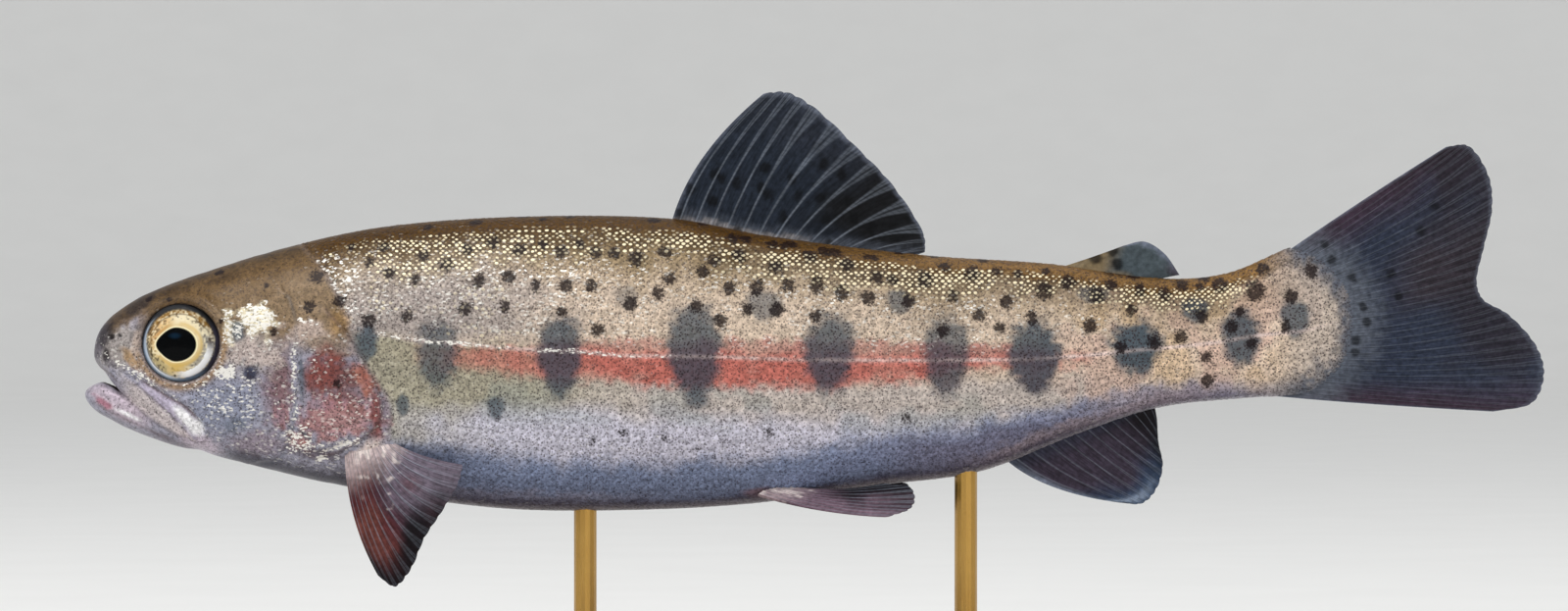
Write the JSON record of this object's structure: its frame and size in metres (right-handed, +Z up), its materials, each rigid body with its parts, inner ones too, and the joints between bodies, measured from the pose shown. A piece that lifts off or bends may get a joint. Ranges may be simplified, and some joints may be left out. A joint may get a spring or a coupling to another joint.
{
  "type": "rainbow trout model",
  "caption": "Young rainbow trout (parr) held level by a plain display stand, mouth a little open, fins spread, with a forked tail, a raised dorsal fin and dark oval bars.",
  "frame": {"origin": "middle of the whole model's length and width, on the floor under the stand's base", "axes": "+X from the head to the tail, +Y towards the fish's right side, +Z up"},
  "size_m": [0.1399, 0.042, 0.0629],
  "materials": {
    "skin": "wet scaled skin, olive back, beige flank, pale belly",
    "gill_cover": "wet, pink-red with silver glints",
    "jaw": "wet, pale lilac grey",
    "fin": "wet membrane, slate blue with pale rays",
    "paired_fin": "wet membrane, reddish brown with pale rays",
    "eye": "clear wet cornea, gold iris, black pupil",
    "walnut": "satin oiled walnut",
    "brass_rod": "brushed brass"
  },
  "bodies": {
    "root": {"head": "skin", "trunk": "skin", "tail_stem": "skin", "lower_jaw": "jaw", "gill_cover_left": "gill_cover", "gill_cover_right": "gill_cover", "maxilla_left": "jaw", "maxilla_right": "jaw", "fin_dorsal": "fin", "fin_adipose": "fin", "fin_caudal": "fin", "fin_anal": "fin", "fin_pectoral_left": "paired_fin", "fin_pectoral_right": "paired_fin", "fin_pelvic_left": "paired_fin", "fin_pelvic_right": "paired_fin", "eye_left": "eye", "eye_right": "eye", "stand_base": "walnut", "stand_rod_front": "brass_rod", "stand_rod_rear": "brass_rod"}
  },
  "joints": []
}
